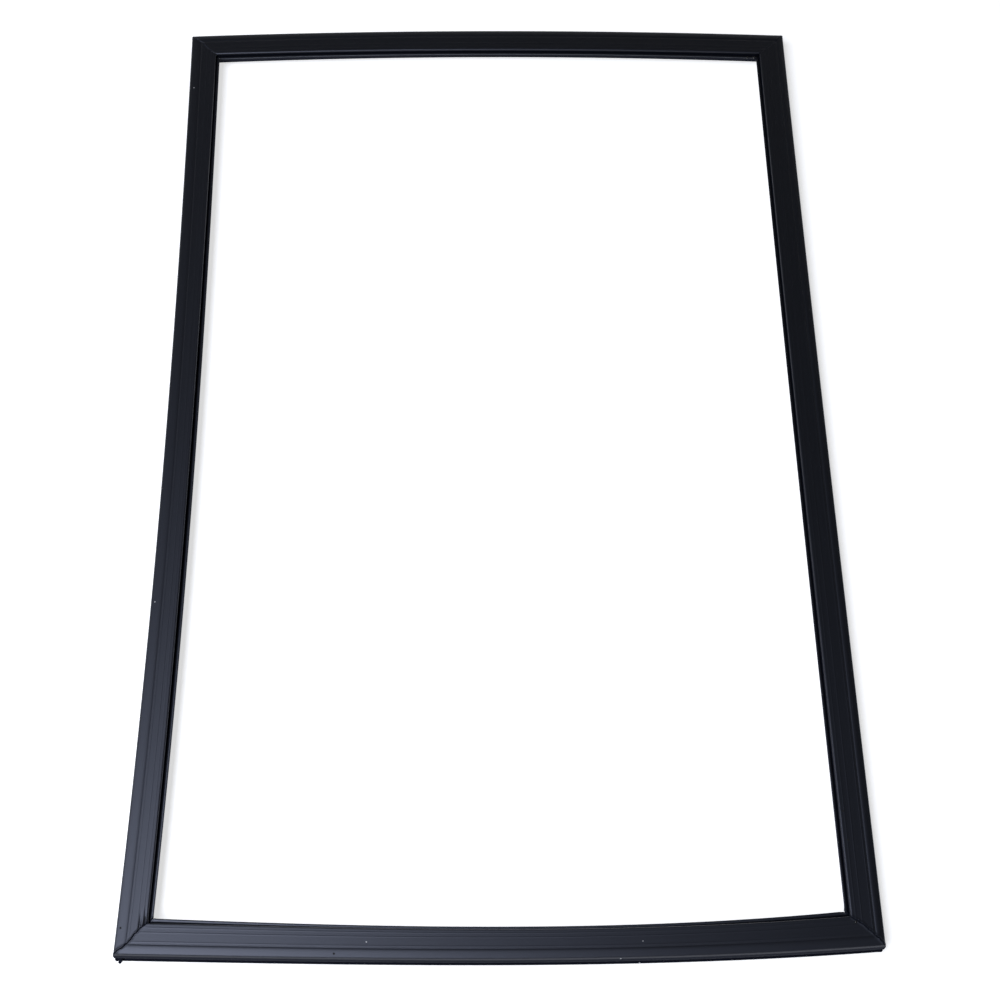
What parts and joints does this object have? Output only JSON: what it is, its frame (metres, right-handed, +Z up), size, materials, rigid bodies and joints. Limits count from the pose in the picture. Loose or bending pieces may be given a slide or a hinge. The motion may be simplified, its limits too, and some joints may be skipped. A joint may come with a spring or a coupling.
{
  "type": "refrigerator door gasket",
  "caption": "Rectangular magnetic door seal: a mitred frame of hollow soft PVC section with an outer leaf, bellows, inner fin and retention dart.",
  "frame": {"origin": "middle of the footprint, on the surface that the dart's tips stand on", "axes": "+Y along the long sides, from the picture's near side to its far side; +Z up, out of the sealing face"},
  "size_m": [0.5902, 0.9124, 0.0182],
  "materials": {
    "soft_pvc": "satin black soft PVC",
    "magnetic_strip": "matt ferrite-filled strip"
  },
  "bodies": {
    "root": {"seal_frame": "soft_pvc", "magnet_strip_near": "magnetic_strip", "magnet_strip_right": "magnetic_strip", "magnet_strip_far": "magnetic_strip", "magnet_strip_left": "magnetic_strip"}
  },
  "joints": []
}
